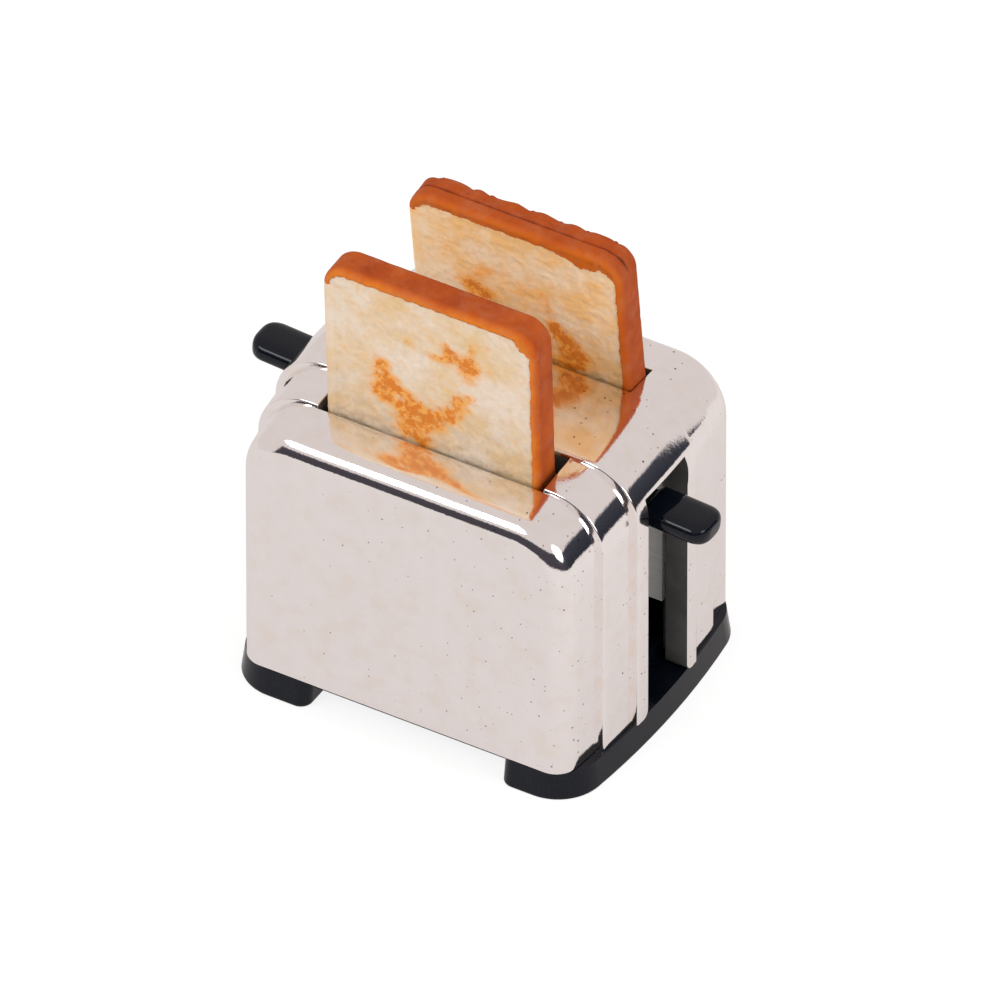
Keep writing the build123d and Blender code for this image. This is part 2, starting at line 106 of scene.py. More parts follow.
add(tree, "ShaderNodeOutputMaterial", {"Surface": blend.outputs[0]})

sheet = bmesh.new()
bmesh.ops.create_grid(sheet, x_segments=1, y_segments=1, size=card_half)
floor_mesh = bpy.data.meshes.new("card_floor")
sheet.to_mesh(floor_mesh)
floor_mesh.materials.append(card)
floor = bpy.data.objects.new("card_floor", floor_mesh)
bpy.context.scene.collection.objects.link(floor)

# Studio: an even white room, a soft lamp in front and above, and a weaker one on the right.
# Mirrors see it dark up to about 27 degrees above the table, with a ragged edge and a little
# paler in front, and warm grey above that, straight behind the toy and straight to its left.
room = bpy.data.worlds.new("white_room")
bpy.context.scene.world = room
room.use_nodes = True
tree = room.node_tree
tree.nodes.clear()
where = add(tree, "ShaderNodeTexCoord")
height = add(tree, "ShaderNodeSeparateXYZ", {0: where.outputs["Generated"]})
patches = add(tree, "ShaderNodeTexNoise", {"Vector": where.outputs["Generated"], "Scale": 1.6, "Detail": 2.0})
behind = add(tree, "ShaderNodeMapRange", {0: height.outputs["Y"], 1: 0.69, 2: 0.84, 3: 0.08})
aside = add(tree, "ShaderNodeMapRange", {0: height.outputs["X"], 1: -0.64, 2: -0.7, 3: 0.0, 4: 1.0})
away = add(tree, "ShaderNodeMath", {0: behind.outputs[0], 1: aside.outputs[0]}, operation="MAXIMUM")
leaning = add(tree, "ShaderNodeMath", {0: away.outputs[0], 1: height.outputs["Z"]}, operation="ADD")
ragged = add(tree, "ShaderNodeMath", {0: patches.outputs[0], 1: 0.12, 2: leaning.outputs[0]},
             operation="MULTIPLY_ADD")
strip = add(tree, "ShaderNodeValToRGB", {0: ragged.outputs[0]})
strip.color_ramp.elements[0].position = 0.0
strip.color_ramp.elements[0].color = linear("#2F2F36")
strip.color_ramp.elements[1].position = 1.0
strip.color_ramp.elements[1].color = linear(warm_grey)
for place, shade in ((0.06, "#2D2E36"), (0.48, "#3C3D47"), (0.52, warm_grey)):
    strip.color_ramp.elements.new(place).color = linear(shade)
seen = add(tree, "ShaderNodeLightPath")
front = add(tree, "ShaderNodeMapRange", {0: height.outputs["Y"], 1: 0.1, 2: -0.3, 3: 0.0, 4: 0.75})
paler = add(tree, "ShaderNodeMix", {0: front.outputs[0], 6: strip.outputs[0], 7: linear("#48444A")},
            data_type="RGBA", blend_type="LIGHTEN")
mirrored = add(tree, "ShaderNodeMix", {0: seen.outputs["Is Glossy Ray"], 6: (1, 1, 1, 1),
                                       7: paler.outputs[2]}, data_type="RGBA")
level = add(tree, "ShaderNodeMapRange", {0: seen.outputs["Is Diffuse Ray"], 3: 1.0, 4: 0.78})
sky = add(tree, "ShaderNodeBackground", {"Color": mirrored.outputs[2], "Strength": level.outputs[0]})
add(tree, "ShaderNodeOutputWorld", {"Surface": sky.outputs[0]})

for name, across, upright, watts, lamp_at in (("softbox", 0.66, 0.3, 2.9, (-0.35, -0.6, 0.66)),
                                              ("fill_lamp", 0.5, 0.5, 2.3, (0.85, -0.3, 0.4))):
    softbox = bpy.data.lights.new(name, "AREA")
    softbox.shape = "ELLIPSE"
    softbox.size, softbox.size_y, softbox.energy = across, upright, watts
    lamp = bpy.data.objects.new(name, softbox)
    facing = Vector(lamp_at).to_track_quat("Z", "Y").to_matrix().to_4x4()
    lamp.matrix_world = Matrix.Translation(lamp_at) @ facing
    bpy.context.scene.collection.objects.link(lamp)

# Housing: one zinc die casting, buffed and plated with nickel and chrome. Five bands step up
# from each long face to the middle, the bread slots fill the second and fourth, and a slot
# for the lever runs up each end from the open bottom. Four screw posts are cast inside.
shell_low, shell_high = [corner * 1000 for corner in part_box("housing_shell")]
base_line, crown = shell_low[2], shell_high[2]
half_long, half_deep = shell_high[0], shell_high[1]
bow_radius, end_step, top_step = 100.0, 0.5, 0.25
shoulder, face_round, step_round, rim_round = 4.5, 1.6, 0.14, 0.09
slot_inner, slot_outer, slot_reach = 4.3, 8.05, 9.55
lever_gap, lever_gap_top, tongue_round = 2.875, 22.85, 0.7
wall, ceiling, cheek, inner_corner, inner_round = 1.2, 23.526, 1.95, 3.3, 0.1
exact = 1e-6


def band(y, steps, inset=0.0):
    """Half length, top and shoulder radius of the casting's skin at a depth y."""
    bow = y * y / (2 * bow_radius)
    length = half_long - bow - steps * end_step - inset
    return length, crown - bow - steps * top_step - inset, shoulder - inset


hollow_end = band(half_deep, 2)[0] - wall
hollow_deep = half_deep - wall
hollow = (hollow_end, ceiling, inner_corner)
lever_hollow = (half_long - cheek, ceiling, inner_corner)

# Each station is a depth, the outer skin there, the hollow's depth and the hollow's skin.
stations = []
for step in range(9):
    turn = math.radians(90 * step / 8)
    y = -half_deep + face_round * (1 - math.cos(turn))
    inside = -hollow_deep + inner_round * (1 - math.cos(turn))
    inset = inner_round * (1 - math.sin(turn))
    stations.append((y, band(y, 2, face_round * (1 - math.sin(turn))), inside,
                     (hollow_end - inset, ceiling - inset, inner_corner - inset)))
for y in (-10.4, -9.4, -8.5):
    stations.append((y, band(y, 2), y, hollow))


def step_up(edge, steps, hollow_before, hollow_after, inside_pitch=0.02):
    """The riser between two bands, with the proud band's edge buffed round."""
    stations.append((edge, band(edge, steps + 1), edge, hollow_before))
    for count in range(5):
        turn = math.radians(90 * count / 4)
        y = edge + step_round * (1 - math.cos(turn))
        skin = band(y, steps, step_round * (1 - math.sin(turn)))
        stations.append((y, skin, edge + inside_pitch * count, hollow_after))


step_up(-slot_outer, 1, hollow, hollow)
for y in (-7.5, -6.6, -5.7, -4.9):
    stations.append((y, band(y, 1), y, hollow))
step_up(-slot_inner, 0, hollow, lever_hollow)
# The hollow steps out here too, so its first station past the riser stands a hair further on.
stations[-5] = stations[-5][:2] + (-slot_inner + 0.001,) + stations[-5][3:]
for y in (-3.8, -lever_gap, -1.9, -0.95):
    stations.append((y, band(y, 0), y, lever_hollow))
stations += [(0.0, band(0, 0), 0.0, lever_hollow)] + [
    (-y, skin, -inside, hollow_skin) for y, skin, inside, hollow_skin in reversed(stations)]

# Rows run up an end wall, over the shoulder and to the bread slots' ends, then across.
tongue_rows, tongue_pitch = 6, 0.14
wall_rises = [1.6, 3.5, 6, 8.5, 11, 13, 14.8, 16.4, 17.6, 18.3, 18.9, 19.4, 19.9]
rises = [tongue_pitch * row for row in range(tongue_rows)] + wall_rises
rows_up = [base_line + rise for rise in rises] + [lever_gap_top]
shoulder_rows, across_rows = 16, 24


def end_profile(skin, edge_of_gap):
    """Points (x, z, sideways shift) of one station's profile from the right foot to the left."""
    length, top, radius = skin
    spring, turn_x = top - radius, length - radius
    right = []
    for row, z in enumerate(rows_up):
        shift = 0.0
        if edge_of_gap and row < tongue_rows:
            turn = math.radians(90 * row / (tongue_rows - 1))
            shift = tongue_round * (1 - math.sin(turn))
            z = base_line + tongue_round * (1 - math.cos(turn))
        x = length if z <= spring else turn_x + math.sqrt(radius ** 2 - (z - spring) ** 2)
        right.append((x, z, shift))
    start = math.asin((lever_gap_top - spring) / radius)
    finish = math.acos(max(0.0, (slot_reach - turn_x) / radius))
    curve, flat = radius * (finish - start), max(0.0, turn_x - slot_reach)
    for row in range(1, shoulder_rows):
        run = (curve + flat) * row / shoulder_rows
        if run < curve:
            turn = start + run / radius
            right.append((turn_x + radius * math.cos(turn), spring + radius * math.sin(turn), 0.0))
        else:
            right.append((turn_x - (run - curve), top, 0.0))
    middle = []
    for column in range(across_rows + 1):
        x = slot_reach * (1 - 2 * column / across_rows)
        rise = radius if abs(x) <= turn_x else math.sqrt(radius ** 2 - (abs(x) - turn_x) ** 2)
        middle.append((x, spring + rise, 0.0))
    return right + middle + [(-x, z, shift) for x, z, shift in reversed(right)]


shell = bmesh.new()


def lips(edge, steps):
    """The stations in front and behind at a bread slot's edge, on the band so many steps down."""
    return [n for n, (y, skin, _, _) in enumerate(stations)
            if abs(abs(y) - edge) < exact and abs(skin[1] - band(y, steps)[1]) < exact]


def lay_skin(pick):
    """One skin of the casting: the stations' profiles and both flat faces, with its holes."""
    grid = []
    for station in stations:
        y, skin = station[pick], station[pick + 1]
        profile = end_profile(skin, abs(abs(station[0]) - lever_gap) < exact)
        grid.append([shell.verts.new((x, y + math.copysign(shift, y), z)) for x, z, shift in profile])
    low_lip, deep_lip = lips(slot_outer, 2), lips(slot_inner, 1)
    gap = [n for n, station in enumerate(stations) if abs(abs(station[0]) - lever_gap) < exact]
    across = (len(rows_up) + shoulder_rows - 1, len(rows_up) + shoulder_rows - 1 + across_rows)
    count = len(grid[0])
    for n in range(len(grid) - 1):
        in_bread = low_lip[0] <= n < deep_lip[0] or deep_lip[1] <= n < low_lip[1]
        in_gap = gap[0] <= n < gap[1]
        for row in range(count - 1):
            if in_bread and across[0] <= row < across[1]:
                continue
            if in_gap and (row < len(rows_up) - 1 or row >= count - len(rows_up)):
                continue
            shell.faces.new((grid[n][row], grid[n][row + 1], grid[n + 1][row + 1], grid[n + 1][row]))
    for edge in (grid[0], grid[-1]):
        ladder = [edge[row] for row in range(across[0])]
        levels = []
        for row, foot in enumerate(ladder):
            other = edge[count - 1 - row]
            shares = [column / across_rows for column in range(1, across_rows)]
            between = [shell.verts.new(foot.co.lerp(other.co, share)) for share in shares]
            levels.append([foot] + between + [other])
        levels.append(edge[across[0]:across[1] + 1])
        for low, high in zip(levels, levels[1:]):
            for column in range(across_rows):
                shell.faces.new((low[column], low[column + 1], high[column + 1], high[column]))


lay_skin(0)
outer_count, outer_faces = len(shell.verts), len(shell.faces)
lay_skin(2)
shell.verts.ensure_lookup_table()
shell.faces.ensure_lookup_table()
for face in shell.faces[outer_faces:]:
    face.material_index = 1
shell.edges.ensure_lookup_table()
loose = [v for v in shell.verts if not v.link_faces]
partner = {shell.verts[n]: shell.verts[n + outer_count] for n in range(outer_count)}

# The two skins join in a rim round every opening, rounded as buffing leaves it.
rims = [edge for edge in shell.edges if len(edge.link_faces) == 1 and edge.verts[0] in partner]
pulls = {}
for edge in rims:
    a, b = edge.verts
    along = (b.co - a.co).normalized()
    out = (a.co + b.co) / 2 - edge.link_faces[0].calc_center_median()
    out = (out - along * out.dot(along)).normalized()
    for v in (a, b):
        pulls.setdefault(v, []).append(out)
rounds = {}
for v, outs in pulls.items():
    total = sum(outs, Vector())
    pull = total / max(0.5, 1 + outs[0].dot(outs[1])) if len(outs) > 1 else total
    inward = (partner[v].co - v.co).normalized()
    corner = v.co.copy()
    ring = [v]
    for turn in (30, 60, 90):
        ring.append(shell.verts.new(corner - pull * rim_round * (1 - math.sin(math.radians(turn)))
                                    + inward * rim_round * (1 - math.cos(math.radians(turn)))))
    v.co = corner - pull * rim_round
    rounds[v] = ring + [partner[v]]
for edge in rims:
    a, b = edge.verts
    for n in range(4):
        rim_face = shell.faces.new((rounds[a][n], rounds[b][n], rounds[b][n + 1], rounds[a][n + 1]))
        rim_face.material_index = n // 3
bmesh.ops.delete(shell, geom=loose, context="VERTS")
bmesh.ops.recalc_face_normals(shell, faces=shell.faces)

# Screw posts, a little way in from the hollow's corners and stopping short of its rounded top.
post_radius, post_inset, post_foot, post_top = 1.4, 1.0, 3.6, ceiling - 2.0
post_x, post_y = hollow_end - post_inset, hollow_deep - post_inset
for x in (-post_x, post_x):
    for y in (-post_y, post_y):
        middle = Matrix.Translation((x, y, (post_top + post_foot) / 2))
        post = bmesh.ops.create_cone(shell, cap_ends=True, segments=32, radius1=post_radius,
                                     radius2=post_radius, depth=post_top - post_foot, matrix=middle)
        for face in {face for vert in post["verts"] for face in vert.link_faces}:
            face.material_index = 1


def piece_from(made, name, material, body, replaced, sharp=38):
    """Turns a mesh drawn in millimetres into a piece that rides on its body."""
    made.transform(Matrix.Scale(0.001, 4))
    mesh = bpy.data.meshes.new(name)
    made.to_mesh(mesh)
    made.free()
    mesh.materials.append(material)
    mesh.shade_smooth()
    mesh.set_sharp_from_angle(angle=math.radians(sharp))
    piece = bpy.data.objects.new(name, mesh)
    bpy.context.scene.collection.objects.link(piece)
    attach(piece, body)
    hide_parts(*replaced)
    return piece


def finish_of(name, **settings):
    """A new material named for its finish: its node tree and its shader, which is set up."""
    made = bpy.data.materials.new(name)
    made.use_nodes = True
    shader = made.node_tree.nodes["Principled BSDF"]
    for socket, value in settings.items():
        shader.inputs[socket.replace("_", " ")].default_value = value
    return made, made.node_tree, shader


# Bright chrome over a casting: a pale warm mirror with tan stains, soft waves from buffing,
# faint upright streaks, and dark pores of the zinc that gather towards the right-hand end.
chrome, tree, shader = finish_of("buffed_chrome_plate", Metallic=1.0, Roughness=0.06)
pore_size, pore_spacing, stain_size, wave_size, streak_size, grain_size = 0.13, 0.55, 1.7, 6.0, 1.1, 0.3
clean_until, porous_from = -0.008, 0.014
spot = add(tree, "ShaderNodeTexCoord").outputs["Object"]
place = add(tree, "ShaderNodeSeparateXYZ", {0: spot})
stains = add(tree, "ShaderNodeTexNoise", {"Vector": spot, "Scale": 1000 / stain_size, "Detail": 5.0,
                                          "Roughness": 0.6})
tint = add(tree, "ShaderNodeValToRGB", {0: stains.outputs[0]})
tint.color_ramp.elements[0].position, tint.color_ramp.elements[1].position = 0.36, 0.66
tint.color_ramp.elements[0].color, tint.color_ramp.elements[1].color = linear("#F7F1EC"), linear("#FAF7F7")
tint.color_ramp.elements.new(0.46).color = linear("#F8F4F3")
upright = add(tree, "ShaderNodeMapping", {"Vector": spot, "Scale": (1.0, 1.0, 0.07)})
streaks = add(tree, "ShaderNodeTexNoise", {"Vector": upright.outputs[0], "Scale": 1000 / streak_size,
                                           "Detail": 2.0})
paler = add(tree, "ShaderNodeMapRange", {0: streaks.outputs[0], 1: 0.45, 2: 0.75, 3: 0.0, 4: 0.35})
streaked = add(tree, "ShaderNodeMix", {0: paler.outputs[0], 6: tint.outputs[0], 7: linear("#FDFAF9")},
               data_type="RGBA")
pores = add(tree, "ShaderNodeTexVoronoi", {"Vector": spot, "Scale": 1000 / pore_spacing})
apart = add(tree, "ShaderNodeSeparateColor", {0: pores.outputs["Color"]})
crowd = add(tree, "ShaderNodeMapRange", {0: place.outputs["X"], 1: clean_until, 2: porous_from,
                                         3: 0.08, 4: 0.55})
kept = add(tree, "ShaderNodeMath", {0: apart.outputs[0], 1: crowd.outputs[0]}, operation="LESS_THAN")
pore_share = pore_size / pore_spacing
wide = add(tree, "ShaderNodeMath", {0: apart.outputs[1], 1: 0.5 * pore_share, 2: 0.25 * pore_share},
           operation="MULTIPLY_ADD")
pit = add(tree, "ShaderNodeMath", {0: pores.outputs["Distance"], 1: wide.outputs[0]}, operation="LESS_THAN")
dark_pit = add(tree, "ShaderNodeMath", {0: pit.outputs[0], 1: kept.outputs[0]}, operation="MULTIPLY")
depth = add(tree, "ShaderNodeMath", {0: dark_pit.outputs[0], 1: apart.outputs[2]}, operation="MULTIPLY")
pitted = add(tree, "ShaderNodeMix", {0: depth.outputs[0], 6: streaked.outputs[2], 7: linear("#4E4642")},
             data_type="RGBA")
tree.links.new(pitted.outputs[2], shader.inputs["Base Color"])
haze = add(tree, "ShaderNodeMapRange", {0: stains.outputs[0], 1: 0.3, 2: 0.7, 3: 0.10, 4: 0.045})
tree.links.new(haze.outputs[0], shader.inputs["Roughness"])
waves = add(tree, "ShaderNodeTexNoise", {"Vector": spot, "Scale": 1000 / wave_size, "Detail": 1.0})
soft = add(tree, "ShaderNodeBump", {"Height": waves.outputs[0], "Strength": 0.4, "Distance": 0.00012})
buffing = add(tree, "ShaderNodeTexNoise", {"Vector": spot, "Scale": 1000 / grain_size, "Detail": 3.0,
                                           "Roughness": 0.7})
grain = add(tree, "ShaderNodeBump", {"Height": buffing.outputs[0], "Normal": soft.outputs[0],
                                     "Strength": 0.3, "Distance": 0.00002})
tree.links.new(grain.outputs[0], shader.inputs["Normal"])

# Inside, the zinc casting stays as it left the die: dull grey, with flow marks and a cold,
# slightly rough skin.
raw_zinc, tree, shader = finish_of("unplated_die_cast_zinc", Metallic=0.4, Roughness=0.55)
flow_size, skin_size = 3.0, 0.2
spot = add(tree, "ShaderNodeTexCoord").outputs["Object"]
flow = add(tree, "ShaderNodeTexNoise", {"Vector": spot, "Scale": 1000 / flow_size, "Detail": 5.0,
                                        "Distortion": 0.8})
shade = add(tree, "ShaderNodeValToRGB", {0: flow.outputs[0]})
shade.color_ramp.elements[0].color, shade.color_ramp.elements[1].color = linear("#3E3D3C"), linear("#6C6A68")
tree.links.new(shade.outputs[0], shader.inputs["Base Color"])
cold = add(tree, "ShaderNodeTexNoise", {"Vector": spot, "Scale": 1000 / skin_size, "Detail": 3.0})
skin = add(tree, "ShaderNodeBump", {"Height": cold.outputs[0], "Strength": 0.4, "Distance": 0.00003})
tree.links.new(skin.outputs[0], shader.inputs["Normal"])

housing = piece_from(shell, "housing_casting", chrome, "housing", ["housing_shell"])
housing.data.materials.append(raw_zinc)

# Inner walls: tinned rolled strip beside the bread slots, paler and duller than the casting,
# with fine rolling lines along it. One of them shows through the right-hand lever slot.
def dress(finish, *nodes):
    """Gives CAD nodes that stand as they are a finish."""
    for node in nodes:
        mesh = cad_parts[node].data
        mesh.materials.clear()
        mesh.materials.append(finish)


def metal(name, dark, light, rough, grain_size, stretch, bright=1.0):
    """Bare or plated metal: two close shades, and rough and smooth lines of one grain."""
    made, tree, shader = finish_of(name, Metallic=bright)
    spot = add(tree, "ShaderNodeTexCoord").outputs["Object"]
    drawn = add(tree, "ShaderNodeMapping", {"Vector": spot, "Scale": stretch})
    grain = add(tree, "ShaderNodeTexNoise", {"Vector": drawn.outputs[0], "Scale": 1000 / grain_size,
                                             "Detail": 4.0, "Roughness": 0.6})
    shade = add(tree, "ShaderNodeValToRGB", {0: grain.outputs[0]})
    shade.color_ramp.elements[0].position, shade.color_ramp.elements[1].position = 0.3, 0.7
    shade.color_ramp.elements[0].color, shade.color_ramp.elements[1].color = linear(dark), linear(light)
    tree.links.new(shade.outputs[0], shader.inputs["Base Color"])
    worn = add(tree, "ShaderNodeMapRange", {0: grain.outputs[0], 1: 0.3, 2: 0.7, 3: rough * 1.3,
                                            4: rough * 0.7})
    tree.links.new(worn.outputs[0], shader.inputs["Roughness"])
    lines = add(tree, "ShaderNodeBump", {"Height": grain.outputs[0], "Strength": 0.3, "Distance": 0.00001})
    tree.links.new(lines.outputs[0], shader.inputs["Normal"])
    return made


dress(metal("tinned_rolled_strip", "#E8E4E0", "#F6F4F2", 0.62, 0.25, (0.05, 1, 1), 0.25),
      "inner_wall_front", "inner_wall_rear")

# Base: one ABS moulding, nearly black with a blue cast and glossy, with faint sinks and fine
# dust. Its sides are drafted to leave the mould.
gloss_black, tree, shader = finish_of("glossy_black_abs", IOR=1.46, Specular_IOR_Level=0.3)
sink_size, dust_size = 2.5, 0.12
spot = add(tree, "ShaderNodeTexCoord").outputs["Object"]
dust = add(tree, "ShaderNodeTexNoise", {"Vector": spot, "Scale": 1000 / dust_size, "Detail": 3.0})
shade = add(tree, "ShaderNodeValToRGB", {0: dust.outputs[0]})
shade.color_ramp.elements[0].position, shade.color_ramp.elements[1].position = 0.45, 0.78
shade.color_ramp.elements[0].color, shade.color_ramp.elements[1].color = linear("#070B12"), linear("#131A26")
tree.links.new(shade.outputs[0], shader.inputs["Base Color"])
film = add(tree, "ShaderNodeMapRange", {0: dust.outputs[0], 1: 0.4, 2: 0.8, 3: 0.04, 4: 0.1})
tree.links.new(film.outputs[0], shader.inputs["Roughness"])
sinks = add(tree, "ShaderNodeTexNoise", {"Vector": spot, "Scale": 1000 / sink_size, "Detail": 1.0})
uneven = add(tree, "ShaderNodeBump", {"Height": sinks.outputs[0], "Strength": 0.15, "Distance": 0.00008})
tree.links.new(uneven.outputs[0], shader.inputs["Normal"])
dress(gloss_black, "base_plate")

# Base screws: four cross-head thread-forming screws, zinc plated and passivated, so that
# they are a dull silver with a straw cast.
dress(metal("zinc_plated_screw_steel", "#8F8A7C", "#BDB8A6", 0.34, 0.3, (1, 1, 0.3)), "base_screws")

# Guide posts: ground steel rod, bright, with drawing lines along each post.
dress(metal("ground_steel_rod", "#A9ABAE", "#CDCFD1", 0.2, 0.12, (1, 1, 0.04)),
      "guide_post_left", "guide_post_right")

# Return springs: hard-drawn wire coiled round the posts and darkened by its drawing soap.
dress(metal("soap_drawn_spring_wire", "#5C5B58", "#8B8986", 0.32, 0.1, (1, 1, 1)),
      "return_spring_left", "return_spring_right")

# Stop rings: pressed from blackened spring steel and snapped on the posts above the carriage.
dress(metal("blackened_ring_steel", "#242321", "#3D3B38", 0.42, 0.15, (1, 1, 1)), "stop_rings")

# Carriage: the frame, and the lever bar in its ears, moulded in matt black acetal with a fine
# spark-eroded skin and flow marks.
acetal, tree, shader = finish_of("matt_black_acetal", Roughness=0.5, IOR=1.48)
flow_size, skin_size = 4.0, 0.09
spot = add(tree, "ShaderNodeTexCoord").outputs["Object"]
flow = add(tree, "ShaderNodeTexNoise", {"Vector": spot, "Scale": 1000 / flow_size, "Detail": 4.0,
                                        "Distortion": 0.6})
shade = add(tree, "ShaderNodeValToRGB", {0: flow.outputs[0]})
shade.color_ramp.elements[0].color, shade.color_ramp.elements[1].color = linear("#131314"), linear("#26262A")
tree.links.new(shade.outputs[0], shader.inputs["Base Color"])
eroded = add(tree, "ShaderNodeTexNoise", {"Vector": spot, "Scale": 1000 / skin_size, "Detail": 2.0})
skin = add(tree, "ShaderNodeBump", {"Height": eroded.outputs[0], "Strength": 0.4, "Distance": 0.00001})
tree.links.new(skin.outputs[0], shader.inputs["Normal"])
dress(acetal, "carriage_frame", "lever_bar")

# Lever pin: a short length of the same ground rod, nickel plated, so yellower and smoother.
dress(metal("nickel_plated_pin", "#B5AFA2", "#D6D1C4", 0.15, 0.1, (1, 0.04, 1)), "lever_pivot_pin")


# Lever knobs: two paddles moulded in the base's black ABS and pushed on the ends of the bar,
# their tips and edges well rounded and their skins left glossy by the mould.
knob_start, knob_end, knob_half_wide, knob_half_thick = 14.0, 19.39, 1.85, 0.9
tip_round, edge_round, edge_flatness, lever_tilt, lever_height = 1.3, 0.6, 0.8, 3.4, 20.8
mouth_long, mouth_draw, width_square, thickness_square = 0.36, 0.25, 3.4, 2.6
mouth_steps, shank_steps, tip_steps, ring_points = 3, 15, 18, 48


def paddle(side):
    """A knob lofted along the tilted bar from rounded sections."""
    made = bmesh.new()
    shank_start, shank_end = knob_start + mouth_long, knob_end - tip_round
    places = [(knob_start + mouth_long * step / mouth_steps, mouth_draw * (1 - step / mouth_steps))
              for step in range(mouth_steps)]
    places += [(shank_start + (shank_end - shank_start) * step / shank_steps, 0.0)
               for step in range(shank_steps)]
    places += [(shank_end + tip_round * math.sin(math.radians(90 * step / tip_steps)), 0.0)
               for step in range(tip_steps + 1)]
    loops = []
    for along, draw in places:
        past = max(0.0, along - shank_end)
        wide = knob_half_wide - draw - tip_round + math.sqrt(max(0.0, tip_round ** 2 - past ** 2))
        past = max(0.0, along - (knob_end - edge_round))
        rounding = edge_round - math.sqrt(max(0.0, edge_round ** 2 - past ** 2))
        thick = knob_half_thick - draw - edge_flatness * rounding
        loop = []
        for point in range(ring_points):
            turn = 2 * math.pi * point / ring_points
            c, s = math.cos(turn), math.sin(turn)
            y = wide * math.copysign(abs(c) ** (2 / width_square), c)
            z = thick * math.copysign(abs(s) ** (2 / thickness_square), s)
            loop.append(made.verts.new((side * along, y, z)))
        loops.append(loop)
    for one, two in zip(loops, loops[1:]):
        for n in range(ring_points):
            m = (n + 1) % ring_points
            made.faces.new((one[n], one[m], two[m], two[n]))
    made.faces.new(loops[0])
    made.faces.new(loops[-1])
    bmesh.ops.recalc_face_normals(made, faces=made.faces)
    tilt = Matrix.Rotation(math.radians(lever_tilt), 4, "Y")
    made.transform(Matrix.Translation((0, 0, lever_height)) @ tilt)
    return made


for side, name in ((-1, "left"), (1, "right")):
    piece_from(paddle(side), "lever_paddle_" + name, gloss_black, "lever", ["lever_knob_" + name])

# Cradles: a rod and shelf under each slice, moulded like the carriage in black acetal.
dress(acetal, "front_cradle", "rear_cradle")


# Bread: two moulded slices in polymer clay, a cream crumb pressed rough with a brush and a
# crust painted round its edge and a little over its faces. Each stands on its cradle and
# leans on the near lip of its slot. The rear one's crust is pinched into lumps at the back.
slice_long, slice_thick, slice_corner, slot_gap = 18.05, 2.7, 2.0, 0.2
rod_height, rod_to_seat = 19.7, 0.98
rows, columns, path_points = 130, 130, 420
crumb_sink, near_inset, far_inset, edge_fade = 0.07, 0.36, 0.45, 0.9


def stand(depth, lean, lip_depth, lip_height, shift):
    """Where a slice's face lies: its lower middle, and its ways along, through and up."""
    tilt = math.radians(lean)
    along, through = Vector((1, 0, 0)), Vector((0, math.cos(tilt), math.sin(tilt)))
    up = Vector((0, -math.sin(tilt), math.cos(tilt)))
    proud = (depth - lip_depth) * math.cos(tilt) - (lip_height - rod_height) * math.sin(tilt) - slot_gap
    foot = Vector((shift, depth, rod_height)) - through * proud + up * rod_to_seat
    return foot, along, through, up


def side_reach(v, tall, inset):
    """Half the slice's length at a height v, with its corners rounded."""
    corner = slice_corner - inset
    past = max(inset + corner - v, v - (tall - inset - corner), 0.0)
    return slice_long / 2 - inset - corner + math.sqrt(max(0.0, corner ** 2 - past ** 2))


def crumb_mesh(place, tall, seed, marks):
    """The crumb: both faces as fine grids, dimpled, with the toasting kept as an attribute."""
    foot, along, through, up = place
    made = bmesh.new()
    toast = made.verts.layers.float.new("toasting")
    faces = []
    for side, inset in ((0, near_inset), (1, far_inset)):
        grid = []
        for row in range(rows + 1):
            level = 0.5 - 0.5 * math.cos(math.pi * row / rows)
            v = inset + (tall - 2 * inset) * (0.25 * level + 0.75 * row / rows)
            reach = side_reach(v, tall, inset)
            line = []
            for column in range(columns + 1):
                u = reach * (2 * column / columns - 1)
                at = Vector((u, v, seed + 31 * side))
                edge = min(v - inset, tall - inset - v, reach - abs(u), edge_fade) / edge_fade
                pits = noise.fractal(at * 1.9, 0.9, 2.0, 3) * 0.045 + abs(noise.noise(at * 0.95)) * 0.09
                brushed = noise.noise(Vector((u * 0.7, v * 2.6, seed))) * 0.03
                rough = max(0.0, pits + brushed + 0.03) * (0.3 + 0.7 * edge)
                deep = crumb_sink + rough + 0.1 * (1 - edge) ** 3
                deep = deep if side == 0 else slice_thick - deep
                vert = made.verts.new(foot + along * u + up * v + through * deep)
                vert[toast] = marks(u, v, side)
                line.append(vert)
            grid.append(line)
        for low, high in zip(grid, grid[1:]):
            for n in range(columns):
                made.faces.new((low[n], low[n + 1], high[n + 1], high[n]))
        faces.append(grid)
    front, back = faces
    rim = [[(0, n) for n in range(columns)], [(n, columns) for n in range(rows)],
           [(rows, columns - n) for n in range(columns)], [(rows - n, 0) for n in range(rows)]]
    rings = [[grid[a][b] for side in rim for a, b in side] for grid in (front, back)]
    centre = foot + up * tall / 2
    for deep in (2.1, 0.6):
        inner = []
        for vert in rings[0]:
            at = (vert.co - centre) * 0.92
            flat = along * at.dot(along) + up * at.dot(up)
            inner.append(made.verts.new(centre + flat + through * deep))
        rings.insert(1, inner)
    for near, far in zip(rings, rings[1:]):
        for n in range(len(near)):
            m = (n + 1) % len(near)
            made.faces.new((near[n], near[m], far[m], far[n]))
    bmesh.ops.recalc_face_normals(made, faces=made.faces)
    return made


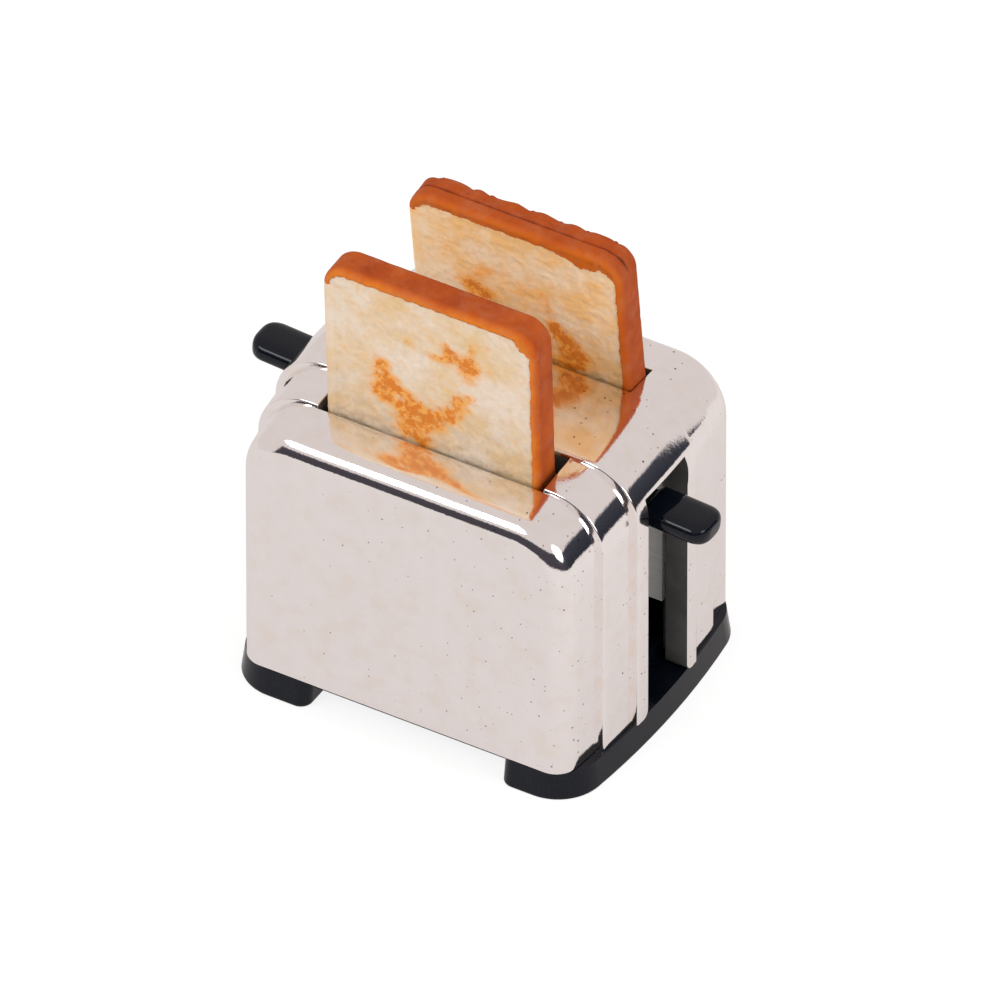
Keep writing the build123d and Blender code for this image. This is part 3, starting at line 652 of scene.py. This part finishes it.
def outline(tall, count):
    """Points and outward ways round a slice's edge, from the lower left, clockwise."""
    half, r = slice_long / 2, slice_corner
    corners = [(-half + r, tall - r, 180), (half - r, tall - r, 90), (half - r, r, 0), (-half + r, r, -90)]
    points = []
    arc, tall_run, long_run = r * math.pi / 2, tall - 2 * r, slice_long - 2 * r
    runs = [tall_run, long_run, tall_run, long_run]
    whole = sum(runs) + 4 * arc
    for n in range(count):
        s = whole * n / count
        for (x, y, start), run in zip(corners, runs):
            start_way = Vector((math.cos(math.radians(start)), math.sin(math.radians(start))))
            if s < run:
                ahead = Vector((start_way.y, -start_way.x))
                points.append((Vector((x, y)) + start_way * r - ahead * (run - s), start_way))
                break
            s -= run
            if s < arc:
                turn = math.radians(start) - s / r
                way = Vector((math.cos(turn), math.sin(turn)))
                points.append((Vector((x, y)) + way * r, way))
                break
            s -= arc
    return points


crust_bend, crust_inside, slope_wide, crease_deep = 0.45, 0.95, 0.5, 1.35
fold_turns, side_points, thin_per_point = (0, 22.5, 45, 67.5, 90), 16, 0.11


def clamped(value):
    """A value held between 0 and 1."""
    return max(0.0, min(1.0, value))


def crust_mesh(place, tall, seed, over, lumps, groove_shade):
    """The crust: a closed band round the slice whose painted edge wanders over both faces."""
    foot, along, through, up = place
    made = bmesh.new()
    painted, thinning_and_groove_shade = made.verts.layers.float.new("painted"), made.verts.layers.float.new("thinning_and_groove_shade")
    rounds = [math.radians(turn) for turn in fold_turns]
    fold = [(crust_bend * (1 - math.sin(turn)), crust_bend * (1 - math.cos(turn))) for turn in rounds]
    side_long = slice_thick - 2 * crust_bend
    loops = []
    for spot, way in outline(tall, path_points):
        ring = noise.noise(Vector((spot.x * 1.4, spot.y * 1.4, seed))) * 0.55
        ring += noise.noise(Vector((spot.x * 4.0, spot.y * 4.0, seed + 5))) * 0.35
        lip = max(0.5, over(spot, way) * (1 + 0.45 * ring))
        back_lip = 0.62 * (1 + 0.5 * noise.noise(Vector((spot.x * 1.7, spot.y * 1.7, seed + 9))))
        bare = clamped((-way.x - 0.75) / 0.2) * clamped((tall - slice_corner * 0.8 - spot.y) / 0.4)
        slope = slope_wide * bare
        section = [(lip + slope, 0.16), (lip - 0.03 + 0.8 * slope, 0.085), (lip - 0.05 + 0.4 * slope, 0.04)]
        section += [(crust_bend + 0.02, 0.004)] + fold
        section += [(0.0, crust_bend + side_long * n / side_points) for n in range(1, side_points)]
        section += [(inward, slice_thick - deep) for inward, deep in reversed(fold)]
        section += [(back_lip - 0.08, slice_thick - 0.03), (back_lip, slice_thick - 0.09)]
        section += [(back_lip + 0.02, slice_thick - 0.3), (crust_inside, 1.9), (crust_inside, 0.8)]
        dentable = range(4, len(section) - 5)
        loop = []
        for n, (inward, deep) in enumerate(section):
            if n in dentable:
                flat = Vector((spot.x, spot.y, deep))
                dented = 0.05 * abs(noise.noise(flat * 1.1 + Vector((seed, 0, 0))))
                inward += dented + lumps(spot, way, deep)
            at = spot - way * inward
            vert = made.verts.new(foot + along * at.x + up * at.y + through * deep)
            vert[painted] = 1 - bare
            if deep < 1.0:
                vert[thinning_and_groove_shade] = max(0.0, 1.0 - thin_per_point * n)
            # Painted shade: along the rear slice's top groove the crust is made darker.
            elif way.y > 0.2:
                vert[thinning_and_groove_shade] = -0.3 * groove_shade * math.exp(-((deep - crease_deep) / 0.12) ** 2)
            loop.append(vert)
        loops.append(loop)
    for one, two in zip(loops, loops[1:] + loops[:1]):
        for n in range(len(one)):
            m = (n + 1) % len(one)
            made.faces.new((one[n], two[n], two[m], one[m]))
    bmesh.ops.recalc_face_normals(made, faces=made.faces)
    return made


def browned(spots):
    """A slice's toasting: 0 for pale crumb to 1 where the spots overlap."""
    def toasting(u, v, side):
        if side:
            u = -u
        near = sum(math.exp(-(((u - x) / wide) ** 2 + ((v - y) / high) ** 2)) * dark
                   for x, y, wide, high, dark in spots)
        return min(1.0, near)
    return toasting


# Crumb: matt cream clay, a little translucent, warmer in clouds and toasted in loose washes of
# orange with darker pits. Towards the slot it is darker and olive in mottled patches: painted shade.
def clay_colour(tree, spot, pale, warm, warmth):
    cloud_size, mottle_size, unshaded_above, fully_shaded_below = 3.2, 1.1, 0.0315, 0.0235
    clouds = add(tree, "ShaderNodeTexNoise", {"Vector": spot, "Scale": 1000 / cloud_size, "Detail": 6.0,
                                              "Roughness": 0.65})
    base = add(tree, "ShaderNodeValToRGB", {0: clouds.outputs[0]})
    base.color_ramp.elements[0].position, base.color_ramp.elements[1].position = 0.4, 0.4 + 0.26 / warmth
    base.color_ramp.elements[0].color, base.color_ramp.elements[1].color = linear(pale), linear(warm)
    height = add(tree, "ShaderNodeSeparateXYZ", {0: spot})
    # Painted shade: below this height, near the slot, the clay is mixed towards a mottled olive shade.
    low = add(tree, "ShaderNodeMapRange", {0: height.outputs["Z"], 1: unshaded_above, 2: fully_shaded_below,
                                           3: 0.0, 4: 0.6})
    mottle = add(tree, "ShaderNodeTexNoise", {"Vector": spot, "Scale": 1000 / mottle_size, "Detail": 4.0,
                                              "Roughness": 0.6})
    patchy = add(tree, "ShaderNodeMapRange", {0: mottle.outputs[0], 1: 0.4, 2: 0.6, 3: 0.3, 4: 1.05})
    painted_slot_shade = add(tree, "ShaderNodeMath", {0: low.outputs[0], 1: patchy.outputs[0]}, operation="MULTIPLY",
               use_clamp=True)
    shaded = add(tree, "ShaderNodeMix", {0: painted_slot_shade.outputs[0], 6: base.outputs[0], 7: linear("#AE8E62")},
                 data_type="RGBA")
    return shaded.outputs[2]


def crumb_finish(name, pale, warm, warmth, glow):
    made, tree, shader = finish_of(name, Roughness=0.62, IOR=1.45, Subsurface_Weight=0.12,
                                   Subsurface_Scale=0.0006)
    shader.inputs["Subsurface Radius"].default_value = (1.0, 0.6, 0.35)
    crumb_size, char_size, pit_size = 0.7, 0.5, 0.35
    spot = add(tree, "ShaderNodeTexCoord").outputs["Object"]
    clay = clay_colour(tree, spot, pale, warm, warmth)
    grains = add(tree, "ShaderNodeTexNoise", {"Vector": spot, "Scale": 1000 / crumb_size, "Detail": 4.0,
                                              "Roughness": 0.6})
    toast = add(tree, "ShaderNodeAttribute", attribute_name="toasting")
    broken = add(tree, "ShaderNodeMath", {0: grains.outputs[0], 1: 1.3, 2: -0.67}, operation="MULTIPLY_ADD")
    edge = add(tree, "ShaderNodeMath", {0: toast.outputs["Fac"], 1: broken.outputs[0]}, operation="ADD")
    wash = add(tree, "ShaderNodeMapRange", {0: edge.outputs[0], 1: 0.06, 2: 0.7, 3: 0.0, 4: 0.92})
    washed = add(tree, "ShaderNodeMix", {0: wash.outputs[0], 6: clay, 7: linear(glow)}, data_type="RGBA")
    char = add(tree, "ShaderNodeTexNoise", {"Vector": spot, "Scale": 1000 / char_size, "Detail": 4.0,
                                            "Roughness": 0.65, "Distortion": 0.3})
    hottest = add(tree, "ShaderNodeMath", {0: char.outputs[0], 1: 2.4}, operation="MULTIPLY")
    charred = add(tree, "ShaderNodeMath", {0: toast.outputs["Fac"], 1: 0.6, 2: hottest.outputs[0]},
                  operation="MULTIPLY_ADD")
    pits = add(tree, "ShaderNodeMapRange", {0: charred.outputs[0], 1: 1.54, 2: 1.8, 3: 0.0, 4: 1.0})
    touched = add(tree, "ShaderNodeMath", {0: pits.outputs[0], 1: wash.outputs[0]}, operation="MULTIPLY")
    shown = add(tree, "ShaderNodeMix", {0: touched.outputs[0], 6: washed.outputs[2],
                                        7: linear("#D07004")}, data_type="RGBA")
    # Painted shade: where the grain is low, in the hollows under the dent bump, the crumb is mixed darker and
    # olive.
    hollow_shade = add(tree, "ShaderNodeMapRange", {0: grains.outputs[0], 1: 0.32, 2: 0.5, 3: 0.15, 4: 0.0})
    pitted = add(tree, "ShaderNodeMix", {0: hollow_shade.outputs[0], 6: shown.outputs[2], 7: linear("#A98A5C")},
                 data_type="RGBA")
    tree.links.new(pitted.outputs[2], shader.inputs["Base Color"])
    holes = add(tree, "ShaderNodeTexVoronoi", {"Vector": spot, "Scale": 1000 / pit_size})
    dent = add(tree, "ShaderNodeBump", {"Height": grains.outputs[0], "Strength": 0.6, "Distance": 0.00012})
    fine = add(tree, "ShaderNodeBump", {"Height": holes.outputs["Distance"], "Normal": dent.outputs[0],
                                        "Strength": 0.25, "Distance": 0.00005})
    tree.links.new(fine.outputs[0], shader.inputs["Normal"])
    return made


# Crust: brushed-on brown acrylic with hardly any sheen, brown over the top and orange where it
# thins at its edge on the face. One side was left as bare clay below the corner.
def crust_finish(name, deep, middle, bright, pale, warm, warmth):
    made, tree, shader = finish_of(name, Roughness=0.68, IOR=1.45, Specular_IOR_Level=0.22)
    cloud_size, rubbed_size, streak_size, ragged_size = 2.4, 1.6, 0.4, 0.35
    spot = add(tree, "ShaderNodeTexCoord").outputs["Object"]
    clouds = add(tree, "ShaderNodeTexNoise", {"Vector": spot, "Scale": 1000 / cloud_size, "Detail": 5.0,
                                              "Roughness": 0.6})
    # This attribute carries the paint's thinning towards the face and, on the rear slice, painted shade along
    # its top groove.
    thinning_and_groove_shade = add(tree, "ShaderNodeAttribute", attribute_name="thinning_and_groove_shade")
    thin = add(tree, "ShaderNodeMath", {0: clouds.outputs[0], 1: 0.9, 2: thinning_and_groove_shade.outputs["Fac"]},
               operation="MULTIPLY_ADD")
    coat = add(tree, "ShaderNodeValToRGB", {0: thin.outputs[0]})
    coat.color_ramp.elements[0].position, coat.color_ramp.elements[1].position = 0.12, 1.3
    coat.color_ramp.elements[0].color, coat.color_ramp.elements[1].color = linear("#74300E"), linear(bright)
    coat.color_ramp.elements.new(0.3).color = linear(deep)
    coat.color_ramp.elements.new(0.7).color = linear(middle)
    rubbed = add(tree, "ShaderNodeTexNoise", {"Vector": spot, "Scale": 1000 / rubbed_size, "Detail": 5.0,
                                              "Roughness": 0.7})
    worn = add(tree, "ShaderNodeMapRange", {0: rubbed.outputs[0], 1: 0.46, 2: 0.7, 3: 0.0, 4: 0.4})
    paint = add(tree, "ShaderNodeMix", {0: worn.outputs[0], 6: coat.outputs[0], 7: linear("#B96E4C")},
                data_type="RGBA")
    brush = add(tree, "ShaderNodeTexNoise", {"Vector": spot, "Scale": 1000 / ragged_size, "Detail": 3.0})
    bare = add(tree, "ShaderNodeAttribute", attribute_name="painted")
    ragged = add(tree, "ShaderNodeMath", {0: brush.outputs[0], 1: 0.8, 2: bare.outputs["Fac"]},
                 operation="MULTIPLY_ADD")
    covers = add(tree, "ShaderNodeMapRange", {0: ragged.outputs[0], 1: 0.82, 2: 0.92})
    clay = clay_colour(tree, spot, pale, warm, warmth)
    shown = add(tree, "ShaderNodeMix", {0: covers.outputs[0], 6: clay, 7: paint.outputs[2]}, data_type="RGBA")
    tree.links.new(shown.outputs[2], shader.inputs["Base Color"])
    streaks = add(tree, "ShaderNodeTexNoise", {"Vector": spot, "Scale": 1000 / streak_size, "Detail": 3.0})
    brushed = add(tree, "ShaderNodeBump", {"Height": streaks.outputs[0], "Strength": 0.3,
                                           "Distance": 0.00005})
    tree.links.new(brushed.outputs[0], shader.inputs["Normal"])
    return made


# Each slice has its height, its place, its toasted spots (across, up, half width, half height
# and darkness) and the reach of its crust over the near face. Only the rear one is pinched.
front_tall, rear_tall = 18.55, 17.8
front_place = stand(-6.175, 2.3, -slot_outer, band(slot_outer, 2)[1], 0.0)
rear_place = stand(6.175, 7.0, slot_inner, band(slot_inner, 0)[1], 0.45)
front_spots = [(-4.2, 10.8, 0.8, 0.7, 0.85), (-3.8, 9.4, 1.1, 0.9, 0.9), (-4.3, 8.2, 1.0, 0.7, 0.9),
               (-2.6, 8.8, 0.9, 0.5, 0.65), (-3.4, 7.3, 1.5, 0.5, 0.6), (-1.6, 8.0, 1.1, 0.7, 0.75),
               (-1.6, 6.5, 1.5, 0.9, 0.85), (0.2, 7.0, 1.2, 1.0, 0.85), (1.4, 8.1, 1.0, 0.7, 0.9),
               (-2.2, 5.2, 1.3, 0.9, 0.75), (-0.8, 4.6, 0.9, 0.9, 0.7), (2.2, 9.4, 0.9, 0.8, 0.8),
               (3.0, 10.3, 0.7, 0.5, 0.6), (1.5, 14.2, 0.5, 0.7, 1.0), (3.0, 14.0, 1.2, 0.8, 0.75),
               (3.6, 15.2, 0.35, 0.6, 0.6), (3.2, 13.2, 1.0, 0.6, 0.85), (0.5, 13.3, 1.1, 0.4, 0.65),
               (-1.8, 13.8, 0.45, 0.45, 0.45), (3.2, 12.0, 0.8, 0.5, 0.45)]
rear_spots = [(-4.0, 10.0, 1.2, 0.8, 0.7), (-2.8, 9.4, 1.0, 0.8, 0.7), (-3.4, 11.3, 1.0, 0.8, 0.45),
              (-2.2, 12.3, 1.0, 0.6, 0.35), (2.9, 8.7, 0.8, 0.8, 0.9), (3.9, 7.6, 1.1, 0.9, 1.0),
              (4.7, 6.6, 1.2, 0.8, 1.0), (4.1, 5.6, 1.3, 0.8, 0.9), (2.4, 10.6, 0.5, 0.9, 0.45),
              (1.2, 11.6, 1.6, 0.9, 0.25), (3.8, 4.5, 1.3, 0.8, 0.5)]
near_lip = 0.48


def front_over(spot, way):
    """The front crust's reach: wider along the top and widest at its right-hand corner."""
    corner = max(0.0, 2 * way.x * way.y)
    return near_lip + 0.2 * clamped(way.y * 1.5) + 0.1 * max(0.0, way.x) + 0.5 * corner


def rear_over(spot, way):
    """The rear crust's reach: wide along the top, with a daub near the right-hand end."""
    daub = 0.75 * math.exp(-((spot.x - 5.9) / 1.5) ** 2)
    return near_lip + (0.42 + daub) * clamped(way.y * 1.5) + 0.1 * max(0.0, way.x)


def smooth_edge(spot, way, deep):
    """The front slice's edge, which has neither groove nor lumps."""
    return 0.0


def pinched(spot, way, deep):
    """The rear slice's top: a groove along the middle and pinched lumps behind it."""
    if way.y < 0.2:
        return 0.0
    groove = 0.2 * math.exp(-((deep - crease_deep) / 0.09) ** 2)
    lump = 1 - abs(math.sin(spot.x * 1.25 + 1.6 * noise.noise(Vector((spot.x * 0.45, 3, 1)))))
    return way.y * (groove + 0.3 * lump * clamped((deep - 1.5) / 0.5))


# The rear slice's clay is painted paler and warmer than the front's, and its toasting a brighter orange:
# painted light that lifts the rear slice out of the shade it stands in.
front_clays, rear_clays_painted_lighter = ("#DECCBA", "#DAB88A", 1.0), ("#F0D6B6", "#F0C284", 1.3)
front_clay = crumb_finish("brushed_cream_clay", *front_clays, "#E69A36")
rear_clay = crumb_finish("brushed_cream_clay_painted_lighter", *rear_clays_painted_lighter, "#EE9C26")
front_paint = crust_finish("brushed_crust_acrylic_front", "#A2400F", "#BE5611", "#D0721E", *front_clays)
rear_paint = crust_finish("brushed_crust_acrylic_rear", "#A4410F", "#B8500C", "#C66212", *rear_clays_painted_lighter)

front_crumb = crumb_mesh(front_place, front_tall, 3.0, browned(front_spots))
piece_from(front_crumb, "front_slice_crumb", front_clay, "front_slice", ["front_crumb"], 60)
rear_crumb = crumb_mesh(rear_place, rear_tall, 17.0, browned(rear_spots))
piece_from(rear_crumb, "rear_slice_crumb", rear_clay, "rear_slice", ["rear_crumb"], 60)
front_crust = crust_mesh(front_place, front_tall, 5.0, front_over, smooth_edge, 0)
piece_from(front_crust, "front_slice_crust", front_paint, "front_slice", ["front_crust"], 60)
rear_crust = crust_mesh(rear_place, rear_tall, 23.0, rear_over, pinched, 1)
piece_from(rear_crust, "rear_slice_crust", rear_paint, "rear_slice", ["rear_crust"], 60)
